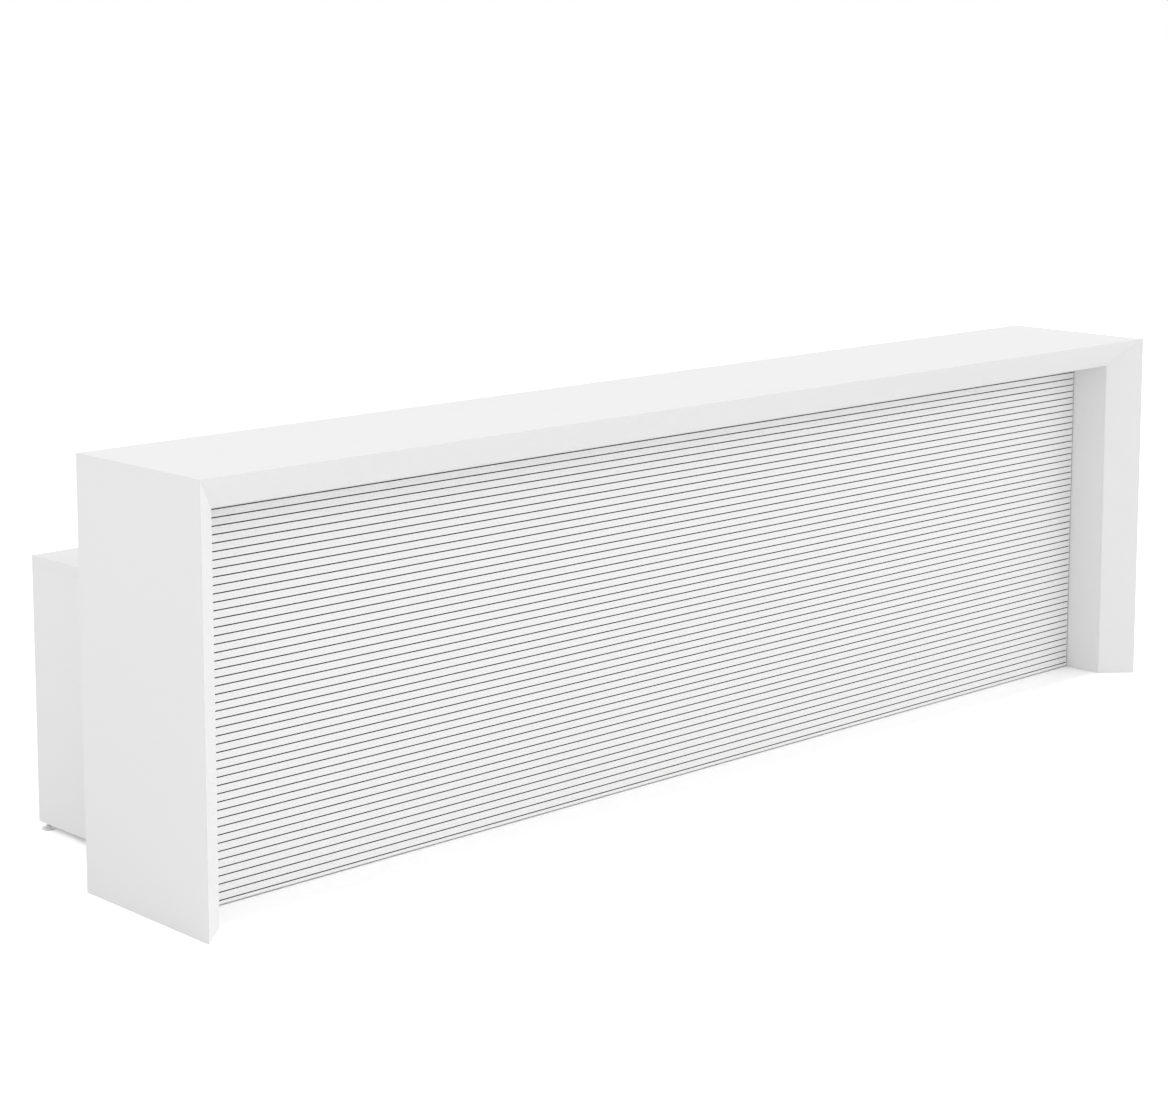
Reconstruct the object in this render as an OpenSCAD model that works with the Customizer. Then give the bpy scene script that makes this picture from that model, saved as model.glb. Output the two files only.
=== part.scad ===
// Long reception desk: a portal counter of hollow, bevel-edged boxes mitred at both corners, a
// grooved front wall set back between its gables, and a lower staff worktop on its own panels.
// X runs along the desk, visitors stand on the -Y side and Z is up. The origin lies on the floor
// under the middle of the whole desk. All sizes are in millimetres.

/* [Overall] */
// Length over the outer faces of the two gables
desk_w = 3690; // [3000:10:4300]
// Depth over everything, from the counter's front edge to the worktop's rear edge
overall_d = 1040; // [960:5:1160]
// Height of the counter above the floor
counter_h = 1100; // [1060:5:1180]
// Depth of the counter and of its gables
counter_d = 510; // [470:5:580]

/* [Portal] */
// Thickness of the hollow gables and of the hollow counter
box_t = 86; // [82:1:100]
// How far the bevelled front edge falls back from its sharp outer edge
bevel_d = 78; // [60:1:95]
// Thickness of the boards that the portal is folded up from
skin_t = 18; // [15:1:19]
// Width of the battens inside the portal
batten_w = 45; // [35:1:55]
// Number of bays between the cross battens inside the counter
counter_bays = 6; // [4:1:9]
// Number of cross battens inside each gable
gable_rails = 2; // [1:1:3]
// Height of the block that closes each gable at the floor
base_h = 62; // [58:1:80]
// Thickness of the splines that lock the mitres
spline_t = 4; // [3:0.5:5]
// Width of the splines across the mitres
spline_w = 12; // [8:1:13]
// Distance of a spline's ends from the ends of its mitre
spline_end = 15; // [5:1:40]

/* [Front wall] */
// Distance of the grooved panel behind the counter's front edge
front_recess = 204; // [170:1:225]
// Thickness of the grooved panel
panel_t = 18; // [15:1:25]
// Number of grooves in the panel
groove_count = 49; // [30:1:60]
// Width of a groove
groove_w = 2.8; // [1.5:0.1:6]
// Depth of a groove
groove_depth = 7; // [2:0.5:10]
// Gap between the grooved panel and the floor
panel_floor_gap = 3; // [2:0.5:12]
// Gap between the grooved panel and the counter above it
panel_top_gap = 3; // [1:0.5:8]
// Gap between the grooved panel and the gables at its ends
panel_side_gap = 2.5; // [1:0.25:4]
// Gap between the lining boards and their neighbours
lining_gap = 1; // [0.5:0.25:2]
// Depth of the studs and rails inside the wall
stud_d = 44; // [40:1:60]
// Width of the studs
stud_w = 60; // [50:1:80]
// Number of bays between the studs
stud_bays = 6; // [4:2:8]
// Height of the top and bottom rails
rail_h = 44; // [42:1:60]
// Thickness of the lining boards on the staff side
lining_t = 18; // [17:1:22]
// Distance of the outer screw rows from the top and bottom of the lining
screw_row_inset = 110; // [90:5:150]

/* [Worktop and supports] */
// Height of the worktop above the floor
work_h = 740; // [700:5:780]
// Thickness of the worktop
work_t = 28; // [25:1:38]
// Distance of the worktop's ends from the outer faces of the gables
desk_inset = 198; // [150:1:260]
// Thickness of the end panels and of the middle support
support_t = 28; // [25:1:38]
// Gap between the supports and the floor
foot_gap = 20; // [18:1:26]
// Gap between the desk boards and the wall lining
wall_gap = 2; // [0.5:0.5:5]
// Gap in the worktop's middle seam
seam_gap = 0.6; // [0.4:0.1:2]
// Distance of the middle support behind the worktop's rear edge
middle_setback = 120; // [100:5:200]
// Thickness of the edge bands
edge_t = 2; // [1:0.5:3]
// Depth of the ledgers that carry the worktop along the wall
ledger_d = 22; // [18:1:30]
// Height of the ledgers
ledger_h = 45; // [35:1:60]
// Diameter of the dowels
dowel_d = 8; // [6:1:10]
// Length of the dowels
dowel_l = 40; // [30:1:50]
// How far the upright dowels reach into the worktop
dowel_up = 14; // [10:1:18]
// Distance of the first and last dowel from the ends of their joint
dowel_inset = 90; // [60:5:120]

/* [Steel fittings] */
// Length of the legs of an angle bracket
bracket_leg = 40; // [34:1:45]
// Width of an angle bracket
bracket_w = 40; // [25:1:45]
// Thickness of the bracket steel
bracket_t = 2.5; // [1.5:0.5:4]
// Distance of a bracket's screw from its corner
bracket_hole = 26; // [18:1:28]
// Offset between the brackets on the two faces of the middle support
bracket_stagger = 60; // [50:5:90]
// Diameter of the bracket and wall screws
screw_d = 4; // [3:0.5:5]
// Length of the short screws under the head
screw_l = 15; // [10:1:16]
// Length of the wall screws under the head
wall_screw_l = 45; // [35:1:55]
// Diameter of the screw heads
screw_head_d = 9; // [7:0.5:11]
// Height of the screw heads
screw_head_h = 3; // [2:0.5:4]
// Diameter of the covers over the wall screws
cover_d = 13; // [11:0.5:16]
// Height of the covers
cover_h = 2.2; // [1.5:0.1:4]
// Diameter of the bolts that hold the wall to the gables
bolt_d = 6; // [5:1:8]
// Diameter of the bolt heads
bolt_head_d = 14; // [12:1:18]
// Height of the bolt heads
bolt_head_h = 3.5; // [2.5:0.5:5]
// Length of bolt that stands past the gable board for its nut
bolt_tail = 14; // [10:1:20]
// Height of the bolt nuts
nut_h = 6; // [4:0.5:8]
// Width of the steel channels under the worktop
beam_w = 40; // [30:1:60]
// Height of the channels
beam_h = 25; // [20:1:40]
// Wall of the channels
beam_t = 2; // [1.5:0.5:4]
// Distance of the channels from the rear end of the middle support
beam_setback = 45; // [40:1:80]
// Width of the plate across the worktop's seam
plate_w = 120; // [80:5:160]
// Depth of the plate
plate_l = 60; // [50:1:80]
// Thickness of the plate
plate_t = 3; // [2:0.5:5]

/* [Cable trays and grommets] */
// Length of a cable tray
tray_l = 1100; // [600:10:1200]
// Width of a cable tray over its walls
tray_w = 140; // [100:5:180]
// Depth of a cable tray
tray_h = 80; // [50:1:110]
// Thickness of the tray steel
tray_t = 1.5; // [1:0.25:3]
// Width of the flanges that hold a tray
tray_flange = 20; // [18:1:30]
// Distance of the trays and grommets from the wall lining
tray_setback = 150; // [130:5:200]
// Diameter of the cable bore through the worktop
grommet_bore = 80; // [70:1:90]
// Diameter of the rim around the bore
grommet_rim_d = 94; // [92:1:110]
// Height of the rim above the worktop
grommet_rim_h = 3; // [2:0.5:5]
// Wall of the grommet ring
grommet_wall = 3; // [2:0.5:4]
// Depth of the grommet ring in the worktop
grommet_depth = 22; // [16:1:24]
// Width of the lip that carries the cap
lip_w = 5; // [3:0.5:7]
// Height of the lip
lip_h = 3; // [2:0.5:4]
// Thickness of the cap
cap_t = 4; // [3:0.5:6]
// Width of the cable slot in the cap
slot_w = 18; // [12:1:24]
// Depth of the cable slot in the cap, measured past the lip
slot_d = 15; // [12:1:20]

/* [Levelling feet] */
// Diameter of a foot's pad
pad_d = 36; // [30:1:42]
// Height of a pad
pad_h = 6; // [4:0.5:8]
// Height of the hexagon above the pad
hex_h = 4; // [3:0.5:6]
// Width of the hexagon across its flats
hex_w = 13; // [11:1:17]
// Diameter of the threaded stem
stem_d = 8; // [6:1:10]
// Length of stem inside its sleeve
stem_hold = 24; // [20:1:28]
// Outer diameter of a sleeve
sleeve_d = 13; // [12:1:16]
// Length of a sleeve above its flange
sleeve_l = 38; // [36:1:42]
// Diameter of a sleeve's flange
flange_d = 22; // [18:1:24]
// Height of a sleeve's flange
flange_h = 2; // [1:0.5:3]
// Free height over the hexagon of a foot that is drawn up into a gable
pocket_air = 3; // [1:0.5:5]
// Distance of the rear feet from the rear ends of their panels
foot_rear_inset = 22; // [21:1:40]
// Distance of the front feet from the wall lining
foot_front_inset = 70; // [50:5:120]
// Distance of the gable feet from the ends of the base block
gable_foot_inset = 60; // [40:5:90]

/* [Clearances] */
// Gap around screws, dowels, splines, sleeves and grommet rings in their holes
fit_clear = 0.2; // [0.1:0.05:0.3]
// Gap around pieces that slide or turn
slide_clear = 0.3; // [0.2:0.05:0.5]
// Gap around a pad in its pocket
pocket_clear = 2; // [1:0.5:3]
// Gap past the end of a dowel, screw or stem
end_clear = 1; // [0.5:0.5:2]

/* [Hidden] */
$fn = 48;
eps = 0.5;
white = "#f4f4f2";
board = "#d9c7a5";
steel = "#b9bcc0";
plastic = "#d4d6d8";
SIDES = [["left", -1], ["right", 1]];

// Planes of the portal
x_out = desk_w / 2;
x_in = x_out - box_t;
y_front = -overall_d / 2;
y_rear = overall_d / 2;
z_under = counter_h - box_t;

// Section of a portal box: u runs in from the outer face and v back from the front edge
bevel_run = skin_t * norm([box_t, bevel_d]) / box_t;
function bevel_back(u) = bevel_d * u / box_t + bevel_run;
u_core = box_t - skin_t;
cavity_w = box_t - 2 * skin_t;
v_core = bevel_back(u_core);
v_rear = counter_d - skin_t;
v_core_rear = v_rear - fit_clear;
outer_board = [[0, 0], [0, counter_d], [skin_t, v_rear], [skin_t, bevel_back(skin_t)]];
inner_board = [[box_t, bevel_d], [box_t, counter_d], [u_core, v_rear], [u_core, v_core]];
bevel_board = [[0, 0], [skin_t, bevel_back(skin_t)], [u_core, v_core], [box_t, bevel_d]];
rear_board = [[0, counter_d], [box_t, counter_d], [u_core, v_rear], [skin_t, v_rear]];

// Planes of the front wall
y_panel = y_front + front_recess;
y_stud = y_panel + panel_t;
y_lining = y_stud + stud_d;
y_wall = y_lining + lining_t;

// Planes of the desk behind the wall
x_desk = x_out - desk_inset;
x_panel = x_desk - support_t;
x_mid = support_t / 2;
y_desk = y_wall + wall_gap;
y_mid = y_rear - middle_setback;
z_board = work_h - work_t;
half_x = (x_panel + x_mid) / 2;
tray_y = y_wall + tray_setback;
beam_y = y_mid - beam_setback;

// Grooves, studs, screws and bolts of the front wall
groove_pitch = (z_under - panel_top_gap - panel_floor_gap) / groove_count;
stud_pitch = (2 * x_in - stud_w) / stud_bays;
stud_x = [for (i = [0 : stud_bays]) -x_in + stud_w / 2 + i * stud_pitch];
bay_stud_x = [for (i = [1 : stud_bays - 1]) if (i != stud_bays / 2) stud_x[i]];
seam_screw_x = x_mid + cover_d / 2 + end_clear;
screw_x = concat([stud_x[0], stud_x[stud_bays], -seam_screw_x, seam_screw_x], bay_stud_x);
screw_z = [foot_gap + screw_row_inset, work_h / 2, z_under - screw_row_inset];
bolt_z = [for (i = [0 : 2]) foot_gap + rail_h + screw_row_inset
          + i * (z_under - foot_gap - 2 * rail_h - 2 * screw_row_inset) / 2];

// Heights at which the sleeves' flanges seat
gable_seat = pad_h + hex_h + pocket_air;
panel_seat = foot_gap - flange_h;

// Each foot: name, place on the floor and the height of its sleeve's flange
foot_u = x_out - box_t / 2;
foot_panel_x = x_desk - support_t / 2;
FEET = concat(
    [for (s = SIDES) [str("foot_", s[0], "_gable_front"), s[1] * foot_u,
                      y_front + v_core + gable_foot_inset, gable_seat]],
    [for (s = SIDES) [str("foot_", s[0], "_gable_rear"), s[1] * foot_u,
                      y_front + v_rear - gable_foot_inset, gable_seat]],
    [for (s = SIDES) [str("foot_", s[0], "_end_front"), s[1] * foot_panel_x,
                      y_desk + foot_front_inset, panel_seat]],
    [for (s = SIDES) [str("foot_", s[0], "_end_rear"), s[1] * foot_panel_x,
                      y_rear - foot_rear_inset, panel_seat]],
    [for (s = SIDES) [str("foot_wall_", s[0]), s[1] * stud_pitch, y_stud + stud_d / 2, panel_seat]],
    [["foot_middle_front", 0, y_desk + foot_front_inset, panel_seat],
     ["foot_middle_rear", 0, y_mid - foot_rear_inset, panel_seat]]);

// Angle brackets: the corner where they sit and how they are turned into it
bracket_y = [y_desk + dowel_inset + bracket_leg, y_mid - beam_setback - 2 * bracket_leg];
bracket_z = [z_board / 3, z_board * 3 / 4];
END_BRACKETS = [for (y = bracket_y) [[-x_panel, y, z_board], [180, 0, 0]],
                for (y = bracket_y) [[x_panel, y, z_board], [0, 180, 0]]];
MIDDLE_BRACKETS = [for (y = bracket_y) [[x_mid, y, z_board], [180, 0, 0]],
                   for (y = bracket_y) [[-x_mid, y - bracket_stagger, z_board], [0, 180, 0]]];
CORNER_BRACKETS = [for (z = bracket_z) [[-x_panel, y_wall, z], [-90, 0, 0]],
                   for (z = bracket_z) [[x_panel, y_wall, z], [-90, 180, 0]]];
COUNTER_BRACKETS = [for (x = bay_stud_x) [[x, y_wall, z_under], [180, 0, 90]]];
BRACKETS = concat(END_BRACKETS, MIDDLE_BRACKETS, CORNER_BRACKETS, COUNTER_BRACKETS);

// Short screws that go up into the worktop, each at the face under its head
tray_screw_x = tray_l / 2 - tray_flange * 2;
tray_screw_y = tray_w / 2 + tray_flange / 2;
beam_screw_x = (x_panel - x_mid) / 3;
plate_screw = [plate_w / 2 - 2 * screw_head_d, plate_l / 2 - screw_head_d];
plate_y = y_rear - middle_setback / 2;
UNDERSIDE_SCREWS = concat(
    [for (s = [-1, 1]) for (i = [-1, 1]) for (j = [-1, 1])
        [s * half_x + i * tray_screw_x, tray_y + j * tray_screw_y, z_board - tray_t]],
    [for (s = [-1, 1]) for (i = [-1 : 1]) [s * half_x + i * beam_screw_x, beam_y, z_board - beam_t]],
    [for (i = [-1, 1]) for (j = [-1, 1])
        [i * plate_screw[0], plate_y + j * plate_screw[1], z_board - plate_t]]);

// Dowels: upright ones over the end panels, level ones across the worktop's seam
function spread(low, high, count) = [for (i = [0 : count - 1]) low + i * (high - low) / (count - 1)];
end_dowel_y = spread(y_desk + dowel_inset, y_rear - dowel_inset, 3);
seam_dowel_y = spread(y_desk + dowel_inset, y_rear - dowel_inset, 4);

// Turns a piece of the left side into its twin on the right
module to_side(side) {
    mirror([side > 0 ? 1 : 0, 0, 0]) children();
}

// Box between two corners
module block(low, high) {
    translate(low) cube(high - low);
}

// Board of the left gable: a section extruded up to the mitre
module gable_board(section) {
    translate([-x_out, y_front, 0]) intersection() {
        linear_extrude(counter_h) polygon(section);
        translate([0, counter_d, 0]) rotate([90, 0, 0]) linear_extrude(counter_d)
            polygon([[0, 0], [box_t, 0], [box_t, z_under], [0, counter_h]]);
    }
}

// Board of the counter: the same section run between the two mitres
module counter_board(section) {
    intersection() {
        translate([-x_out, y_front, counter_h]) rotate([0, 90, 0])
            linear_extrude(desk_w) polygon(section);
        translate([0, y_front + counter_d, 0]) rotate([90, 0, 0]) linear_extrude(counter_d)
            polygon([[-x_out, counter_h], [x_out, counter_h], [x_in, z_under], [-x_in, z_under]]);
    }
}

// Splines of the left corner, or with a clearance their slots in both boards
module corner_splines(clear) {
    reach = (spline_w + spline_t) / sqrt(8);
    seats = [[skin_t - reach - end_clear, bevel_back(skin_t)], [box_t - skin_t / 2, v_core]];
    for (seat = seats) {
        run = v_rear - seat[1] - 2 * spline_end;
        translate([-x_out + seat[0], y_front + seat[1] + spline_end + run / 2, counter_h - seat[0]])
            rotate([0, -45, 0])
            cube([spline_w + 2 * clear, run + 2 * clear, spline_t + 2 * clear], center = true);
    }
}

module both_corner_splines(clear) {
    for (s = SIDES) to_side(s[1]) corner_splines(clear);
}

module mitre_splines() {
    color(board) both_corner_splines(0);
}

module gable_outer(side) {
    color(white) to_side(side) difference() {
        gable_board(outer_board);
        corner_splines(fit_clear);
    }
}

module gable_inner(side) {
    color(white) difference() {
        to_side(side) difference() {
            gable_board(inner_board);
            corner_splines(fit_clear);
        }
        wall_bolt_holes();
    }
}

module gable_bevel(side) {
    color(white) to_side(side) gable_board(bevel_board);
}

module gable_rear(side) {
    color(white) to_side(side) gable_board(rear_board);
}

// Frame inside a gable: two stiles and cross rails over the base block with its two foot pockets
module gable_core(side) {
    top = counter_h - u_core;
    window_h = (top - base_h - (gable_rails + 1) * batten_w) / (gable_rails + 1);
    color(board) difference() {
        to_side(side) translate([-x_out + skin_t, y_front, 0]) difference() {
            block([0, v_core, 0], [cavity_w, v_core_rear, top]);
            for (i = [0 : gable_rails])
                translate([0, 0, base_h + i * (window_h + batten_w)])
                    block([-eps, v_core + batten_w, 0], [cavity_w + eps, v_core_rear - batten_w, window_h]);
        }
        for (f = FEET) if (f[1] * side > 0 && f[3] == gable_seat) {
            foot_pocket(f);
            foot_sleeve_hole(f);
        }
    }
}

module counter_top_board() {
    color(white) difference() {
        counter_board(outer_board);
        both_corner_splines(fit_clear);
    }
}

module counter_underside() {
    color(white) difference() {
        counter_board(inner_board);
        both_corner_splines(fit_clear);
        bracket_bores(COUNTER_BRACKETS);
    }
}

module counter_bevel() {
    color(white) counter_board(bevel_board);
}

module counter_rear() {
    color(white) counter_board(rear_board);
}

// Frame inside the counter: two long battens and cross ribs
module counter_core() {
    end = x_out - u_core;
    pitch = (2 * end - batten_w) / counter_bays;
    color(board) translate([0, y_front, counter_h - u_core]) difference() {
        block([-end, v_core, 0], [end, v_core_rear, cavity_w]);
        for (i = [0 : counter_bays - 1])
            translate([-end + batten_w + i * pitch, 0, 0])
                block([0, v_core + batten_w, -eps],
                      [pitch - batten_w, v_core_rear - batten_w, cavity_w + eps]);
    }
}

// Blocks glued into the two corners behind the mitres
module corner_blocks() {
    color(board) for (s = SIDES) to_side(s[1])
        translate([-x_out + skin_t, y_front, counter_h - u_core])
            block([0, v_core, 0], [cavity_w, v_core_rear, cavity_w]);
}

// Grooved panel between the gables: half a pitch stays at its top and bottom edges
module front_panel() {
    width = 2 * (x_in - panel_side_gap);
    height = groove_count * groove_pitch;
    color(white) translate([-width / 2, y_panel, panel_floor_gap]) difference() {
        cube([width, panel_t, height]);
        for (i = [0 : groove_count - 1])
            translate([-eps, -eps, (i + 0.5) * groove_pitch - groove_w / 2])
                cube([width + 2 * eps, groove_depth + eps, groove_w]);
    }
}

// Studs between a bottom and a top rail, bolted to the gables at both ends
module front_wall_frame() {
    color(board) difference() {
        union() {
            block([-x_in, y_stud, foot_gap], [x_in, y_lining, foot_gap + rail_h]);
            block([-x_in, y_stud, z_under - rail_h], [x_in, y_lining, z_under]);
            for (x = stud_x)
                block([x - stud_w / 2, y_stud, foot_gap + rail_h],
                      [x + stud_w / 2, y_lining, z_under - rail_h]);
        }
        panel_sleeve_holes();
        wall_bolt_holes();
        wall_screw_holes();
    }
}

// Lining board on the staff side, one half of the wall
module lining(side) {
    color(white) difference() {
        to_side(side) block([-x_in + lining_gap, y_lining, foot_gap],
                            [-seam_gap / 2, y_wall, z_under - lining_gap]);
        wall_screw_holes();
        bracket_bores(concat(CORNER_BRACKETS, COUNTER_BRACKETS));
    }
}

// Screw with a low domed head: it seats at z = 0 and runs down
module screw(length) {
    rotate_extrude() polygon([[0, 0], [screw_head_d / 2, 0], [screw_head_d / 2, screw_head_h / 2],
                              [screw_head_d / 3, screw_head_h], [0, screw_head_h]]);
    translate([0, 0, -length]) cylinder(d = screw_d, h = length + eps);
}

module screw_bore(length) {
    translate([0, 0, -length - end_clear])
        cylinder(d = screw_d + 2 * fit_clear, h = length + 2 * end_clear);
}

// Places of the sunk screws that hold the lining to the studs
module at_wall_screws() {
    for (x = screw_x) for (z = screw_z) translate([x, y_wall, z]) rotate([-90, 0, 0]) children();
}

// Places of the screws that hold the ledgers to the studs
module at_ledger_screws() {
    for (x = bay_stud_x)
        translate([x, y_wall + ledger_d, z_board - ledger_h / 2]) rotate([-90, 0, 0]) children();
}

module wall_screws() {
    color(steel) {
        at_wall_screws() translate([0, 0, -screw_head_h]) screw(wall_screw_l);
        at_ledger_screws() screw(ledger_d + wall_screw_l - screw_head_h);
    }
}

module wall_screw_holes() {
    at_wall_screws() {
        translate([0, 0, -screw_head_h]) screw_bore(wall_screw_l);
        translate([0, 0, -screw_head_h])
            cylinder(d = screw_head_d + 2 * fit_clear, h = screw_head_h + eps);
    }
    at_ledger_screws() screw_bore(ledger_d + wall_screw_l - screw_head_h);
}

module screw_covers() {
    color(white) at_wall_screws() rotate_extrude()
        polygon([[0, 0], [cover_d / 2, 0], [cover_d / 2, cover_h / 3], [cover_d / 3, cover_h], [0, cover_h]]);
}

// Places of the bolts that tie the end studs to the gables, with the head on the stud
module at_wall_bolts() {
    for (s = SIDES) to_side(s[1]) for (z = bolt_z)
        translate([-x_in + stud_w, y_stud + stud_d / 2, z]) rotate([0, 90, 0]) children();
}

bolt_l = stud_w + skin_t + bolt_tail;

module wall_bolts() {
    color(steel) at_wall_bolts() {
        rotate_extrude() polygon([[0, 0], [bolt_head_d / 2, 0], [bolt_head_d / 2, bolt_head_h / 2],
                                  [bolt_head_d / 3, bolt_head_h], [0, bolt_head_h]]);
        translate([0, 0, -bolt_l]) cylinder(d = bolt_d, h = bolt_l + eps);
    }
}

module wall_nuts() {
    nut_w = 2 * bolt_d - 2;
    color(steel) at_wall_bolts() translate([0, 0, -stud_w - skin_t - nut_h]) difference() {
        cylinder(d = nut_w / cos(30), h = nut_h, $fn = 6);
        translate([0, 0, -eps]) cylinder(d = bolt_d + 2 * fit_clear, h = nut_h + 2 * eps);
    }
}

module wall_bolt_holes() {
    at_wall_bolts() translate([0, 0, -bolt_l - end_clear])
        cylinder(d = bolt_d + 2 * fit_clear, h = bolt_l + 2 * end_clear);
}

// Half of the worktop, short of its edge bands
module worktop(side) {
    color(white) difference() {
        to_side(side) block([-x_desk + edge_t, y_desk, z_board], [-seam_gap / 2, y_rear - edge_t, work_h]);
        translate([side * half_x, tray_y, z_board - eps])
            cylinder(d = grommet_bore, h = work_t + 2 * eps, $fn = 96);
        bracket_bores(concat(END_BRACKETS, MIDDLE_BRACKETS));
        underside_bores();
        dowel_pegs(fit_clear, end_clear);
    }
}

module worktop_edge_bands() {
    color(white) for (s = SIDES) to_side(s[1]) {
        block([-x_desk, y_rear - edge_t, z_board], [-seam_gap / 2, y_rear, work_h]);
        block([-x_desk, y_desk, z_board], [-x_desk + edge_t, y_rear - edge_t, work_h]);
    }
}

module end_panel(side) {
    color(white) difference() {
        to_side(side) block([-x_desk, y_desk, foot_gap], [-x_panel, y_rear - edge_t, z_board]);
        panel_sleeve_holes();
        bracket_bores(concat(END_BRACKETS, CORNER_BRACKETS));
        dowel_pegs(fit_clear, end_clear);
    }
}

module middle_support() {
    color(white) difference() {
        block([-x_mid, y_desk, foot_gap], [x_mid, y_mid - edge_t, z_board]);
        panel_sleeve_holes();
        bracket_bores(MIDDLE_BRACKETS);
    }
}

module support_edge_bands() {
    color(white) {
        for (s = SIDES) to_side(s[1])
            block([-x_desk, y_rear - edge_t, foot_gap], [-x_panel, y_rear, z_board]);
        block([-x_mid, y_mid - edge_t, foot_gap], [x_mid, y_mid, z_board]);
    }
}

// Battens on the lining that the worktop's front edge lies on
module worktop_ledgers() {
    color(white) difference() {
        for (s = SIDES) to_side(s[1])
            block([-x_panel, y_wall, z_board - ledger_h], [-x_mid, y_wall + ledger_d, z_board]);
        at_ledger_screws() screw_bore(ledger_d + wall_screw_l - screw_head_h);
    }
}

// Steel channels, open downwards, that stiffen the worktop between its supports
module worktop_beams() {
    length = x_panel - x_mid;
    color(steel) difference() {
        for (s = SIDES) translate([s[1] * half_x - length / 2, beam_y, z_board])
            rotate([90, 0, 90]) linear_extrude(length) difference() {
                translate([-beam_w / 2, -beam_h]) square([beam_w, beam_h]);
                translate([-beam_w / 2 + beam_t, -beam_h - eps])
                    square([beam_w - 2 * beam_t, beam_h - beam_t + eps]);
            }
        underside_bores();
    }
}

// Plate screwed across the seam where the middle support stops short
module seam_plate() {
    color(steel) difference() {
        block([-plate_w / 2, plate_y - plate_l / 2, z_board - plate_t],
              [plate_w / 2, plate_y + plate_l / 2, z_board]);
        underside_bores();
    }
}

// Folded tray on two flanges, open at the top and at both ends
module cable_tray(side) {
    color(steel) difference() {
        translate([side * half_x - tray_l / 2, tray_y, z_board]) rotate([90, 0, 90])
            linear_extrude(tray_l) difference() {
                union() {
                    translate([-tray_w / 2, -tray_h]) square([tray_w, tray_h]);
                    translate([-tray_w / 2 - tray_flange, -tray_t])
                        square([tray_w + 2 * tray_flange, tray_t]);
                }
                translate([-tray_w / 2 + tray_t, -tray_h + tray_t])
                    square([tray_w - 2 * tray_t, tray_h]);
            }
        underside_bores();
    }
}

// Bracket whose corner lies along Y, with one leg on z = 0 and the other on x = 0
module angle_bracket() {
    difference() {
        translate([0, bracket_w / 2, 0]) rotate([90, 0, 0]) linear_extrude(bracket_w) {
            square([bracket_leg, bracket_t]);
            square([bracket_t, bracket_leg]);
        }
        bracket_screw_places() screw_bore(screw_l);
    }
}

module bracket_screw_places() {
    translate([bracket_hole, 0, bracket_t]) children();
    translate([bracket_t, 0, bracket_hole]) rotate([0, 90, 0]) children();
}

module at_brackets(places) {
    for (p = places) translate(p[0]) rotate(p[1]) children();
}

module angle_brackets() {
    color(steel) at_brackets(BRACKETS) angle_bracket();
}

module bracket_screws() {
    color(steel) at_brackets(BRACKETS) bracket_screw_places() screw(screw_l);
}

module bracket_bores(places) {
    at_brackets(places) bracket_screw_places() screw_bore(screw_l);
}

module underside_screws() {
    color(steel) for (p = UNDERSIDE_SCREWS) translate(p) rotate([180, 0, 0]) screw(screw_l);
}

module underside_bores() {
    for (p = UNDERSIDE_SCREWS) translate(p) rotate([180, 0, 0]) screw_bore(screw_l);
}

// Dowels, or with clearances the holes that take them
module dowel_pegs(clear, ends) {
    for (s = SIDES) for (y = end_dowel_y)
        translate([s[1] * foot_panel_x, y, z_board + dowel_up - dowel_l - ends])
            cylinder(d = dowel_d + 2 * clear, h = dowel_l + 2 * ends);
    for (y = seam_dowel_y)
        translate([-dowel_l / 2 - ends, y, work_h - work_t / 2]) rotate([0, 90, 0])
            cylinder(d = dowel_d + 2 * clear, h = dowel_l + 2 * ends);
}

module dowels() {
    color(board) dowel_pegs(0, 0);
}

// Ring in the worktop's bore: a rim on top and a lip inside that carries the cap
ring_r = grommet_bore / 2 - fit_clear;
ring_in_r = ring_r - grommet_wall;
lip_r = ring_in_r - lip_w;
lip_z = grommet_rim_h - cap_t;

module grommet_ring(side) {
    rim_r = grommet_rim_d / 2;
    color(plastic) translate([side * half_x, tray_y, work_h]) rotate_extrude($fn = 96)
        polygon([[lip_r, lip_z - lip_h], [ring_in_r, lip_z - lip_h], [ring_in_r, -grommet_depth],
                 [ring_r, -grommet_depth], [ring_r, 0], [rim_r, 0], [rim_r, grommet_rim_h / 3],
                 [rim_r - grommet_rim_h, grommet_rim_h], [ring_in_r, grommet_rim_h],
                 [ring_in_r, lip_z], [lip_r, lip_z]]);
}

// Cap that turns in the ring, with a round-ended cable slot towards the wall
module grommet_cap(side) {
    cap_r = ring_in_r - slide_clear;
    slot_end = lip_r - slot_d + slot_w / 2;
    color(plastic) translate([side * half_x, tray_y, work_h + lip_z]) difference() {
        cylinder(r = cap_r, h = cap_t, $fn = 96);
        translate([0, -slot_end, -eps]) cylinder(d = slot_w, h = cap_t + 2 * eps);
        translate([-slot_w / 2, -cap_r - eps, -eps])
            cube([slot_w, cap_r - slot_end + eps, cap_t + 2 * eps]);
        translate([0, lip_r - slot_w / 2, cap_t / 2]) cylinder(d = slot_w, h = cap_t);
    }
}

// Levelling foot: a bevelled pad, a hexagon and a plain stem for its thread
module foot(place) {
    color(plastic) translate([place[1], place[2], 0]) {
        rotate_extrude() polygon([[0, 0], [pad_d / 2 - pad_h / 6, 0], [pad_d / 2, pad_h / 6],
                                  [pad_d / 2, pad_h / 2], [pad_d / 2 - pad_h / 2, pad_h], [0, pad_h]]);
        translate([0, 0, pad_h - eps]) cylinder(d = hex_w / cos(30), h = hex_h + eps, $fn = 6);
        cylinder(d = stem_d, h = place[3] + stem_hold);
    }
}

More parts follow.
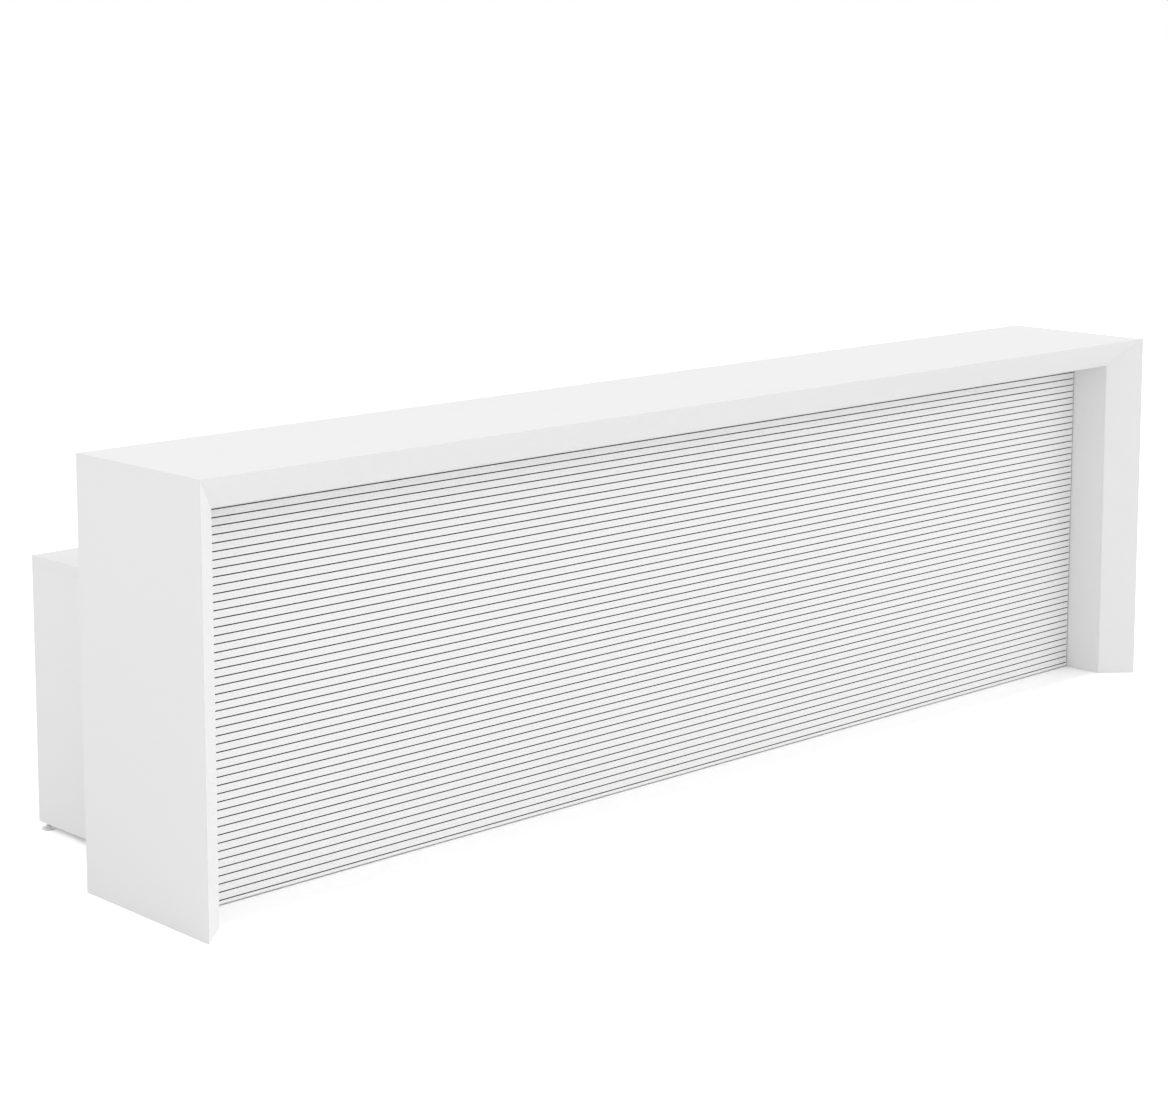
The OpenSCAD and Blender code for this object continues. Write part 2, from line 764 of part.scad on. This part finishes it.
// Threaded sleeve that a foot's stem runs in, with a flange against the board
module foot_sleeve(place) {
    translate([place[1], place[2], place[3]]) difference() {
        union() {
            cylinder(d = flange_d, h = flange_h);
            cylinder(d = sleeve_d, h = flange_h + sleeve_l);
        }
        translate([0, 0, -eps]) cylinder(d = stem_d + 2 * slide_clear, h = flange_h + sleeve_l + 2 * eps);
    }
}

module foot_sleeves() {
    color(steel) for (f = FEET) foot_sleeve(f);
}

module foot_sleeve_hole(place) {
    translate([place[1], place[2], place[3] + flange_h - eps])
        cylinder(d = sleeve_d + 2 * fit_clear, h = sleeve_l + end_clear + eps);
}

// Sleeve holes of the feet that stand under the panels and the wall
module panel_sleeve_holes() {
    for (f = FEET) if (f[3] == panel_seat) foot_sleeve_hole(f);
}

module foot_pocket(place) {
    translate([place[1], place[2], -eps])
        cylinder(d = pad_d + 2 * pocket_clear, h = place[3] + flange_h + eps);
}

for (s = SIDES) {
    gable_outer(s[1]);
    gable_inner(s[1]);
    gable_bevel(s[1]);
    gable_rear(s[1]);
    gable_core(s[1]);
    lining(s[1]);
    worktop(s[1]);
    end_panel(s[1]);
    cable_tray(s[1]);
    grommet_ring(s[1]);
    grommet_cap(s[1]);
}
counter_top_board();
counter_underside();
counter_bevel();
counter_rear();
counter_core();
corner_blocks();
mitre_splines();
front_panel();
front_wall_frame();
wall_bolts();
wall_nuts();
wall_screws();
screw_covers();
worktop_edge_bands();
middle_support();
support_edge_bands();
worktop_ledgers();
worktop_beams();
seam_plate();
angle_brackets();
bracket_screws();
underside_screws();
dowels();
foot_sleeves();
for (f = FEET) foot(f);
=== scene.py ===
import math

import bmesh
import bpy
from mathutils import Matrix, Vector


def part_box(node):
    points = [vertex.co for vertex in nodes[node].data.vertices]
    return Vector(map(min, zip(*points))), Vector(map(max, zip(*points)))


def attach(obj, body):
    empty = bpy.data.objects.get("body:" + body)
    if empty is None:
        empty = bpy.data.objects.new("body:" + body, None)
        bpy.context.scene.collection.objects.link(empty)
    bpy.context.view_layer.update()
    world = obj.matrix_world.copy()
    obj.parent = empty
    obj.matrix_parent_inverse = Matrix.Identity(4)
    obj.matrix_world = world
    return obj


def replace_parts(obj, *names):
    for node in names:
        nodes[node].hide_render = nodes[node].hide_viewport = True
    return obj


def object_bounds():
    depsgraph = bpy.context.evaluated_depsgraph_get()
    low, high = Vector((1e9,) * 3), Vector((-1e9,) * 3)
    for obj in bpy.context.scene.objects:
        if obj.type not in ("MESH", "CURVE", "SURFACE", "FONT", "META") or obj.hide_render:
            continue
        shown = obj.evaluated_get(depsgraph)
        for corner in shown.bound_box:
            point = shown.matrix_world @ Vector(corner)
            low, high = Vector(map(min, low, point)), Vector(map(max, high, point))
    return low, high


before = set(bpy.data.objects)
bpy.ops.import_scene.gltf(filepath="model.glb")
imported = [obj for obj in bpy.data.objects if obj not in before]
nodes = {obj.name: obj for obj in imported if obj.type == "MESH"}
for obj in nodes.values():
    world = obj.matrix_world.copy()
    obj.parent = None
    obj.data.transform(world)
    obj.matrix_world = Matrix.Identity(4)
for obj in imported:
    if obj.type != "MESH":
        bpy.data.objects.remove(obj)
cad_low, cad_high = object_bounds()


# Portal boards: chipboard faced with white melamine that has a fine pearl grain. They are mitred along
# every edge and folded up round the battens. Each arris is eased by hand, so a mitre shows a hairline.
def add_node(tree, kind, inputs, **settings):
    node = tree.nodes.new("ShaderNode" + kind)
    for name, value in settings.items():
        setattr(node, name, value)
    for key, value in inputs.items():
        if isinstance(value, bpy.types.NodeSocket):
            tree.links.new(value, node.inputs[key])
        else:
            node.inputs[key].default_value = value
    return node


def calculate(tree, operation, *values):
    return add_node(tree, "Math", dict(enumerate(values)), operation=operation).outputs[0]


def grain_group():
    clouds_per_metre = 2.3
    smudges_per_metre = 7.0
    tree = bpy.data.node_groups.new("moulded_grain", "ShaderNodeTree")
    for side, label, kind in (
            ("INPUT", "Colour", "Color"), ("INPUT", "Grain size", "Float"), ("INPUT", "Clouding", "Float"),
            ("INPUT", "Roughness", "Float"), ("INPUT", "Smudging", "Float"),
            ("OUTPUT", "Colour", "Color"), ("OUTPUT", "Roughness", "Float"), ("OUTPUT", "Height", "Float")):
        tree.interface.new_socket(label, in_out=side, socket_type="NodeSocket" + kind)
    given = tree.nodes.new("NodeGroupInput").outputs
    out = tree.nodes.new("NodeGroupOutput").inputs
    place = tree.nodes.new("ShaderNodeTexCoord").outputs["Object"]
    chance = tree.nodes.new("ShaderNodeObjectInfo").outputs["Random"]
    per_metre = calculate(tree, "DIVIDE", 1.0, given["Grain size"])
    pearl = add_node(tree, "TexNoise", {"Vector": place, "Scale": per_metre, "Detail": 2.0})
    cloud = add_node(tree, "TexNoise", {"Vector": place, "Scale": clouds_per_metre, "Detail": 3.0})
    smudge = add_node(tree, "TexNoise", {
        "Vector": place, "Scale": smudges_per_metre, "Detail": 5.0, "Distortion": 0.6})
    blend = calculate(tree, "ADD", cloud.outputs["Fac"], chance)
    centred = calculate(tree, "ADD", blend, -1.0)
    value = calculate(tree, "MULTIPLY_ADD", centred, given["Clouding"], 1.0)
    tinted = add_node(tree, "VectorMath", {0: given["Colour"], "Scale": value}, operation="SCALE")
    rubbed = calculate(tree, "ADD", smudge.outputs["Fac"], -0.5)
    rough = calculate(tree, "MULTIPLY_ADD", rubbed, given["Smudging"], given["Roughness"])
    tree.links.new(tinted.outputs[0], out["Colour"])
    tree.links.new(rough, out["Roughness"])
    tree.links.new(pearl.outputs["Fac"], out["Height"])
    return tree


GRAIN = grain_group()


def new_material(name):
    material = bpy.data.materials.new(name)
    material.use_nodes = True
    tree = material.node_tree
    return material, tree, tree.nodes["Principled BSDF"].inputs


def add_grain(tree, colour, grain_size, roughness, clouding, smudging):
    return add_node(tree, "Group", {
        "Colour": (*colour, 1), "Grain size": grain_size, "Clouding": clouding,
        "Roughness": roughness, "Smudging": smudging}, node_tree=GRAIN).outputs


def lay_finish(tree, shader, colour, roughness, height, depth):
    bump = add_node(tree, "Bump", {"Height": height, "Distance": depth})
    tree.links.new(colour, shader["Base Color"])
    tree.links.new(roughness, shader["Roughness"])
    tree.links.new(bump.outputs["Normal"], shader["Normal"])


def grained_material(name, colour, grain_size, grain_height, roughness, clouding=0.012, smudging=0.08):
    material, tree, shader = new_material(name)
    grain = add_grain(tree, colour, grain_size, roughness, clouding, smudging)
    lay_finish(tree, shader, grain["Colour"], grain["Roughness"], grain["Height"], grain_height)
    return material, shader


SAME_POINT = 0.00002
SHARP_ANGLE = math.radians(35)


def ease_edges(piece, width, segments):
    weld = piece.modifiers.new("weld", "WELD")
    weld.merge_threshold = SAME_POINT
    bevel = piece.modifiers.new("eased_edges", "BEVEL")
    bevel.width = width
    bevel.segments = segments
    bevel.limit_method = "ANGLE"
    bevel.angle_limit = SHARP_ANGLE
    bevel.harden_normals = True


def dress(names, material, easing=0.0, segments=2):
    for name in names:
        nodes[name].data.materials.clear()
        nodes[name].data.materials.append(material)
        if easing:
            ease_edges(nodes[name], easing, segments)


pearl_size = 0.0009
pearl_height = 0.00004
face_gloss = 0.42
board_easing = 0.0005
LAMINATE, laminate = grained_material(
    "white_laminate", (0.872, 0.872, 0.872), grain_size=pearl_size, grain_height=pearl_height,
    roughness=0.40)
laminate["Specular IOR Level"].default_value = face_gloss
portal_boards = [f"{side}_gable_{part}" for side in ("left", "right")
                 for part in ("outer", "inner", "bevel", "rear")]
portal_boards += ["counter_top_board", "counter_underside", "counter_bevel", "counter_rear"]
dress(portal_boards, LAMINATE, board_easing)


# Battens, corner blocks, splines, studs and dowels: sawn softwood and beech, hidden once the boards
# are glued on. The grain runs along the desk, as the longest sticks do.
def timber_material(name, light, dark, ring_size):
    stretch = (0.08, 1.0, 1.0)
    fibres_per_metre = 900.0
    fibre_share = 0.35
    sawn_roughness = 0.6
    fibre_roughness = 0.2
    saw_marks = 0.0002
    material, tree, shader = new_material(name)
    place = tree.nodes.new("ShaderNodeTexCoord").outputs["Object"]
    stretched = add_node(tree, "Mapping", {"Vector": place, "Scale": stretch}).outputs["Vector"]
    rings = add_node(tree, "TexWave", {
        "Vector": stretched, "Scale": 1 / ring_size, "Distortion": 6.0, "Detail": 3.0, "Detail Scale": 1.4},
        bands_direction="Z").outputs["Fac"]
    fibre = add_node(tree, "TexNoise", {
        "Vector": stretched, "Scale": fibres_per_metre, "Detail": 4.0}).outputs["Fac"]
    figure = calculate(tree, "MULTIPLY_ADD", fibre, fibre_share, rings)
    colour = add_node(tree, "MixRGB", {"Fac": figure, "Color1": (*light, 1), "Color2": (*dark, 1)})
    rough = calculate(tree, "MULTIPLY_ADD", fibre, fibre_roughness, sawn_roughness)
    lay_finish(tree, shader, colour.outputs[0], rough, figure, saw_marks)
    return material


TIMBER = timber_material("sawn_softwood", (0.62, 0.46, 0.28), (0.48, 0.32, 0.17), ring_size=0.02)
dress(["left_gable_core", "right_gable_core", "counter_core", "corner_blocks", "front_wall_frame"], TIMBER)
BEECH = timber_material("turned_beech", (0.6, 0.42, 0.27), (0.52, 0.34, 0.2), ring_size=0.008)
dress(["mitre_splines", "dowels"], BEECH)


# Grooved front panel: one fibreboard with a white face, milled right through the white by 49 level grooves.
# Below the white skin the colour is painted nearly black, as painted shade inside the grooves on top of the
# real shade of their depth. The cutter leaves crisp lips that are lightly sanded.
def grooved_material():
    skin = 0.0009
    raggedness = 0.0003
    chips_per_metre = 400.0
    shade_speckles_per_metre = 1500.0
    added_roughness = 0.4
    face_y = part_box("front_panel")[0].y
    material, tree, shader = new_material("grooved_panel")
    place = tree.nodes.new("ShaderNodeTexCoord").outputs["Object"]
    depth = add_node(tree, "SeparateXYZ", {"Vector": place}).outputs["Y"]
    ragged = add_node(tree, "TexNoise", {
        "Vector": place, "Scale": chips_per_metre, "Detail": 2.0}).outputs["Fac"]
    edge = calculate(tree, "MULTIPLY_ADD", ragged, raggedness, face_y + skin)
    milled = calculate(tree, "GREATER_THAN", depth, edge)
    face = add_grain(
        tree, (0.868, 0.868, 0.868), pearl_size, roughness=0.42, clouding=0.01, smudging=0.08)
    # Painted shade: below the white skin the colour turns nearly black with a faint speckle, darkening the
    # grooves beyond the real shade of their depth.
    painted_shade_speckle = add_node(tree, "TexNoise", {
        "Vector": place, "Scale": shade_speckles_per_metre, "Detail": 3.0}).outputs["Fac"]
    painted_groove_shade = add_node(tree, "MixRGB", {
        "Fac": painted_shade_speckle, "Color1": (0.012, 0.012, 0.013, 1), "Color2": (0.03, 0.029, 0.028, 1)}).outputs[0]
    colour = add_node(tree, "MixRGB", {"Fac": milled, "Color1": face["Colour"], "Color2": painted_groove_shade})
    rough = calculate(tree, "MULTIPLY_ADD", milled, added_roughness, face["Roughness"])
    lay_finish(tree, shader, colour.outputs[0], rough, face["Height"], pearl_height)
    shader["Specular IOR Level"].default_value = face_gloss
    return material


dress(["front_panel"], grooved_material(), easing=0.0004)


# Lining of the staff side: two boards of the same white melamine as the portal's. They are screwed to
# the studs and meet in a butt seam in the middle.
dress(["lining_left", "lining_right"], LAMINATE, board_easing)


# Covers over the lining screws: small white caps, moulded in plastic with a round rim. They are pressed
# into the screws' heads, which they hide.
COVER, _ = grained_material(
    "white_moulded_plastic", (0.84, 0.84, 0.84), grain_size=0.0006, grain_height=0.00003, roughness=0.34)
dress(["screw_covers"], COVER, easing=0.0006, segments=3)


# Worktop halves, their end panels and the middle support: thick white melamine boards. The ledgers
# that carry the worktop along the wall are of the same board.
dress(["worktop_left", "worktop_right", "left_end_panel", "right_end_panel", "middle_support",
       "worktop_ledgers"], LAMINATE, board_easing)


# Edge bands of worktop and supports: two-millimetre plastic, glued on hot, with scraped round edges
# and a slightly smoother face than the boards.
BAND, _ = grained_material(
    "white_edge_band", (0.862, 0.862, 0.862), grain_size=0.0006, grain_height=0.00003, roughness=0.33)
dress(["worktop_edge_bands", "support_edge_bands"], BAND, easing=0.0005, segments=3)


# Channels, seam plate and trays under the worktop: folded sheet steel with a pale grey powder coat that
# has a slight orange peel. They are screwed on from below.
COATED, _ = grained_material(
    "pale_powder_coat", (0.6, 0.61, 0.615), grain_size=0.0012, grain_height=0.00008, roughness=0.46,
    clouding=0.02)
dress(["worktop_beams", "seam_plate", "left_cable_tray", "right_cable_tray"], COATED, easing=0.0004)


# Brackets, bolts, nuts and foot sleeves: steel with a thin bright zinc plating that is slightly
# blotchy from the bath. The brackets are bent from strip, so their edges are round.
ZINC, zinc = grained_material(
    "zinc_plated_steel", (0.72, 0.73, 0.74), grain_size=0.0015, grain_height=0.00002, roughness=0.32,
    clouding=0.08, smudging=0.22)
zinc["Metallic"].default_value = 1.0
dress(["angle_brackets"], ZINC, easing=0.0009, segments=3)
dress(["wall_screws", "wall_bolts", "wall_nuts", "foot_sleeves"], ZINC, easing=0.0003)


# Screws in the brackets and under the worktop: pan heads with a pressed cross recess on a plain shank
# that the board hides. Each stands where the solid says, with its head towards the thick end.
def lathe(bm, profile, place, steps):
    rings = []
    for radius, height in profile:
        if radius == 0:
            rings.append([bm.verts.new(place @ Vector((0, 0, height)))])
            continue
        turns = [2 * math.pi * i / steps for i in range(steps)]
        rings.append([bm.verts.new(place @ Vector((radius * math.cos(a), radius * math.sin(a), height)))
                      for a in turns])
    for low, high in zip(rings, rings[1:]):
        for i in range(steps):
            j = (i + 1) % steps
            corners = [low[i % len(low)], low[j % len(low)], high[j % len(high)], high[i % len(high)]]
            bm.faces.new(list(dict.fromkeys(corners)))
    return rings[-1]


def pan_head_screw(bm, place, radius, height, length):
    shank = radius * 0.44
    arm = radius * 0.5
    half = radius * 0.11
    taper = 0.7
    recess_floor = height * 0.4
    point = [(0, -length), (shank * 0.5, shank - length), (shank, 2 * shank - length), (shank, 0)]
    head = [(radius, 0), (radius, height * 0.4), (radius * 0.95, height * 0.66),
            (radius * 0.8, height * 0.88), (radius * 0.6, height)]
    rim = lathe(bm, point + head, place, steps=24)
    cross = [(arm, -half), (arm, half), (half, half), (half, arm), (-half, arm), (-half, half),
             (-arm, half), (-arm, -half), (-half, -half), (-half, -arm), (half, -arm), (half, -half)]
    lip = [bm.verts.new(place @ Vector((x, y, height))) for x, y in cross]
    foot = [bm.verts.new(place @ Vector((x * taper, y * taper, recess_floor))) for x, y in cross]
    edges = [bm.edges.new((lip[i - 1], lip[i])) for i in range(len(lip))]
    edges += [bm.edges.get((rim[i - 1], rim[i])) for i in range(len(rim))]
    bmesh.ops.triangle_fill(bm, edges=edges, use_beauty=True, normal=place.to_3x3() @ Vector((0, 0, 1)))
    for i in range(len(lip)):
        bm.faces.new((lip[i - 1], lip[i], foot[i], foot[i - 1]))
    bm.faces.new(foot)


def loose_solids(name):
    bm = bmesh.new()
    bm.from_mesh(nodes[name].data)
    bmesh.ops.remove_doubles(bm, verts=bm.verts, dist=SAME_POINT)
    found = set()
    solids = []
    for first in bm.verts:
        if first in found:
            continue
        found.add(first)
        reached = [first]
        for vert in reached:
            fresh = [e.other_vert(vert) for e in vert.link_edges if e.other_vert(vert) not in found]
            found.update(fresh)
            reached.extend(fresh)
        solids.append([v.co.copy() for v in reached])
    bm.free()
    return solids


def screw_place(points):
    near_rim = 0.98
    low = Vector([min(p[i] for p in points) for i in range(3)])
    high = Vector([max(p[i] for p in points) for i in range(3)])
    size = high - low
    middle = (low + high) / 2
    along = max(range(3), key=lambda i: size[i])
    reach = size[along] / 2
    radius = sorted(size)[1] / 2
    wide = []
    for point in points:
        offset = point - middle
        lift = offset[along]
        offset[along] = 0
        if offset.length > radius * near_rim:
            wide.append(lift)
    toward = math.copysign(1, sum(wide))
    seat = min(abs(lift) for lift in wide)
    axis = Vector([toward if i == along else 0 for i in range(3)])
    turn = Vector((0, 0, 1)).rotation_difference(axis).to_matrix().to_4x4()
    return Matrix.Translation(middle + axis * seat) @ turn, radius, reach - seat, reach + seat


def finish_piece(bm, name, material, body, crease=SHARP_ANGLE):
    bmesh.ops.recalc_face_normals(bm, faces=bm.faces)
    for face in bm.faces:
        face.smooth = True
    for edge in bm.edges:
        edge.smooth = edge.calc_face_angle(0) < crease
    mesh = bpy.data.meshes.new(name)
    bm.to_mesh(mesh)
    bm.free()
    mesh.materials.append(material)
    piece = bpy.data.objects.new(name, mesh)
    bpy.context.scene.collection.objects.link(piece)
    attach(piece, body)
    return piece


for node in ("bracket_screws", "underside_screws"):
    screws = bmesh.new()
    for solid in loose_solids(node):
        place, radius, height, length = screw_place(solid)
        pan_head_screw(screws, place, radius, height, length)
    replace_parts(finish_piece(screws, "cross_head_" + node, ZINC, "desk"), node)


# Cable grommets: moulded grey rings pressed into the worktop, each with a cap that turns in it. The
# ring's thin rim has a smaller round than the cap, as a mould leaves it.
GREY, _ = grained_material(
    "grey_moulded_plastic", (0.5, 0.51, 0.52), grain_size=0.0005, grain_height=0.00003, roughness=0.38)
dress(["left_grommet_ring", "right_grommet_ring"], GREY, easing=0.0004, segments=3)
dress(["left_grommet_cap", "right_grommet_cap"], GREY, easing=0.0005, segments=3)


# Levelling feet: moulded white pads with a ring that grips the floor and a hexagon for the spanner,
# each pressed onto a plated stem with a rolled thread that runs up into its sleeve.
FOOT, _ = grained_material(
    "foot_plastic", (0.87, 0.87, 0.87), grain_size=0.0006, grain_height=0.00004, roughness=0.42)


def foot_pad(bm, place, radius):
    hollow = 0.0006
    top = 0.006
    sole = [(0, hollow), (0.72 * radius, hollow), (0.76 * radius, 0), (0.95 * radius, 0)]
    rim = [(0.985 * radius, 0.0003), (radius, 0.0009), (radius, 0.0026), (0.985 * radius, 0.0031)]
    crown = [(0.95 * radius, 0.0036), (0.7 * radius, 0.0053), (0.6 * radius, 0.0058), (0, top)]
    lathe(bm, sole + rim + crown, place, steps=48)


def spanner_hexagon(bm, place, flats, low, high):
    corner = flats / 2 / math.cos(math.radians(30))
    chamfer = (high - low) * 0.18
    crown = corner - 1.7 * chamfer
    sides = [(0, low), (corner, low), (corner, high - chamfer), (crown, high), (0, high)]
    lathe(bm, sides, place, steps=6)


def threaded_stem(bm, place, radius, low, high):
    pitch = 0.00125
    depth = 0.54 * pitch
    flank = 1.25
    rows_per_turn = 6
    steps = 24
    rows = max(2, round((high - low) / pitch * rows_per_turn))
    rings = []
    for row in range(rows + 1):
        z = low + (high - low) * row / rows
        ring = []
        for i in range(steps):
            phase = (z / pitch - i / steps) % 1
            r = radius - depth * min(1, abs(2 * phase - 1) * flank)
            a = 2 * math.pi * i / steps
            ring.append(bm.verts.new(place @ Vector((r * math.cos(a), r * math.sin(a), z))))
        rings.append(ring)
    for lower, upper in zip(rings, rings[1:]):
        for i in range(steps):
            j = (i + 1) % steps
            bm.faces.new((lower[i], lower[j], upper[j], upper[i]))
    bm.faces.new(rings[-1])
    bm.faces.new(rings[0])


thread_crease = math.radians(70)
for node in [name for name in nodes if name.startswith("foot_") and name != "foot_sleeves"]:
    low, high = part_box(node)
    place = Matrix.Translation(((low.x + high.x) / 2, (low.y + high.y) / 2, low.z))
    pad = bmesh.new()
    foot_pad(pad, place, (high.x - low.x) / 2)
    spanner_hexagon(pad, place, flats=0.013, low=0.0055, high=0.01)
    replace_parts(finish_piece(pad, node + "_pad", FOOT, node), node)
    stem = bmesh.new()
    threaded_stem(stem, place, radius=0.004, low=0.009, high=high.z - low.z)
    finish_piece(stem, node + "_stem", ZINC, node, thread_crease)


# Studio floor: a pale seamless sweep that the picture shows white, with the desk's shadows left on it.
# In the recess before the panel the paper is painted less bright for the camera, so that its real shadow
# shows, and under the worktop a deep shade is painted onto it for the camera, more towards the end panels.
def fade(tree, value, start, full, low=0.0, high=1.0):
    ramp = add_node(tree, "MapRange", {
        "Value": value, "From Min": start, "From Max": full, "To Min": low, "To Max": high})
    return ramp.outputs["Result"]


def overlap(tree, *masks):
    shared = masks[0]
    for mask in masks[1:]:
        shared = calculate(tree, "MULTIPLY", shared, mask)
    return shared


floor_span = 120
floor_drop = 0.0003
paper_tone = 0.93
speckle_tone = 0.02
speckles_per_metre = 40.0
mirror_lift = 0.1
camera_lift = 0.6
painted_recess_dimming = 0.43
painted_shade_middle = 0.3
painted_shade_end = 0.52
gable_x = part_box("right_gable_outer")[0].x
panel_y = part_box("front_panel")[0].y
wall_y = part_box("front_wall_frame")[0].y
end_low, end_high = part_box("right_end_panel")
bpy.ops.mesh.primitive_plane_add(size=floor_span, location=(0, 0, -floor_drop))
floor = bpy.context.object
floor.name = "studio_floor"
floor_material, tree, _ = new_material("studio_floor")
path = tree.nodes.new("ShaderNodeLightPath").outputs
seen = path["Is Camera Ray"]
mirrored = calculate(tree, "MAXIMUM", path["Is Glossy Ray"], path["Is Transmission Ray"])
place = tree.nodes.new("ShaderNodeTexCoord").outputs["Object"]
spot = add_node(tree, "SeparateXYZ", {"Vector": place}).outputs
across = calculate(tree, "ABSOLUTE", spot["X"])
speckle = add_node(tree, "TexNoise", {"Vector": place, "Scale": speckles_per_metre, "Detail": 3.0})
paper = calculate(tree, "MULTIPLY_ADD", speckle.outputs["Fac"], speckle_tone, paper_tone)
paper = calculate(tree, "MULTIPLY_ADD", mirrored, mirror_lift, paper)
# Painted shade: in the recess before the panel the camera sees the paper less bright, so that the real
# shadow there shows through.
between_gables = fade(tree, across, gable_x - 0.007, gable_x - 0.027)
past_edge = fade(tree, spot["Y"], cad_low.y + 0.02, cad_low.y + 0.10)
before_panel = fade(tree, spot["Y"], panel_y + 0.004, panel_y - 0.002)
recess = overlap(tree, between_gables, past_edge, before_panel)
lift = calculate(tree, "MULTIPLY_ADD", recess, -painted_recess_dimming, camera_lift)
paper = calculate(tree, "MULTIPLY_ADD", seen, lift, paper)
# Painted shade: under the worktop the paper is darkened for the camera by place, deeper towards the end
# panels.
between_ends = fade(tree, across, end_high.x - 0.010, end_low.x - 0.007)
before_rear = fade(tree, spot["Y"], cad_high.y + 0.04, cad_high.y - 0.03)
behind_wall = fade(tree, spot["Y"], wall_y - 0.002, wall_y + 0.038)
under_worktop = overlap(tree, between_ends, before_rear, behind_wall, seen)
towards_end = fade(tree, across, end_low.x - 0.419, end_low.x - 0.069, painted_shade_middle, painted_shade_end)
painted_dimming = calculate(tree, "MULTIPLY", under_worktop, towards_end)
painted_shade_factor = calculate(tree, "SUBTRACT", 1.0, painted_dimming)
tone = calculate(tree, "MULTIPLY", paper, painted_shade_factor)
matt = add_node(tree, "BsdfDiffuse", {"Color": tone}).outputs["BSDF"]
tree.links.new(matt, tree.nodes["Material Output"].inputs["Surface"])
floor.data.materials.append(floor_material)


# Studio light: an even white room and one very large, far soft box in front to the right, so that
# every face keeps one level from end to end.
room_light = 0.9
key_light = 0.62
key_width = math.radians(60)
key_azimuth = math.radians(40)
key_height = math.radians(25)
world = bpy.data.worlds.new("white_room")
bpy.context.scene.world = world
world.use_nodes = True
tree = world.node_tree
path = tree.nodes.new("ShaderNodeLightPath").outputs
mirrored = calculate(tree, "MAXIMUM", path["Is Glossy Ray"], path["Is Transmission Ray"])
shown = calculate(tree, "MAXIMUM", path["Is Camera Ray"], mirrored)
strength = calculate(tree, "MULTIPLY_ADD", shown, 1.0 - room_light, room_light)
background = tree.nodes["Background"].inputs
background["Color"].default_value = (1, 1, 1, 1)
tree.links.new(strength, background["Strength"])
key_from = Vector((math.sin(key_azimuth) * math.cos(key_height),
                   -math.cos(key_azimuth) * math.cos(key_height), math.sin(key_height)))
key_data = bpy.data.lights.new("far_soft_box", "SUN")
key_data.energy = key_light
key_data.angle = key_width
key = bpy.data.objects.new("far_soft_box", key_data)
bpy.context.scene.collection.objects.link(key)
key.rotation_euler = (-key_from).to_track_quat("-Z", "Y").to_euler()


# Camera: a long lens at the left front, just above head height and tilted down a little. Its frame is
# lowered too, so that the uprights lean less, but no further than keeps the desk in other views.
camera_tilt = math.radians(8.011)
camera_turn = math.radians(43.627)
camera_data = bpy.data.cameras.new("studio_camera")
camera_data.sensor_width = 36
camera_data.lens = 82.692
camera_data.shift_y = -0.15
camera_data.clip_end = 300
camera = bpy.data.objects.new("studio_camera", camera_data)
bpy.context.scene.collection.objects.link(camera)
camera.location = (-5.3575, -5.4712, 2.1873)
camera.rotation_euler = (math.radians(90) - camera_tilt, 0, -camera_turn)
bpy.context.scene.camera = camera
bpy.context.scene.view_settings.view_transform = "Standard"
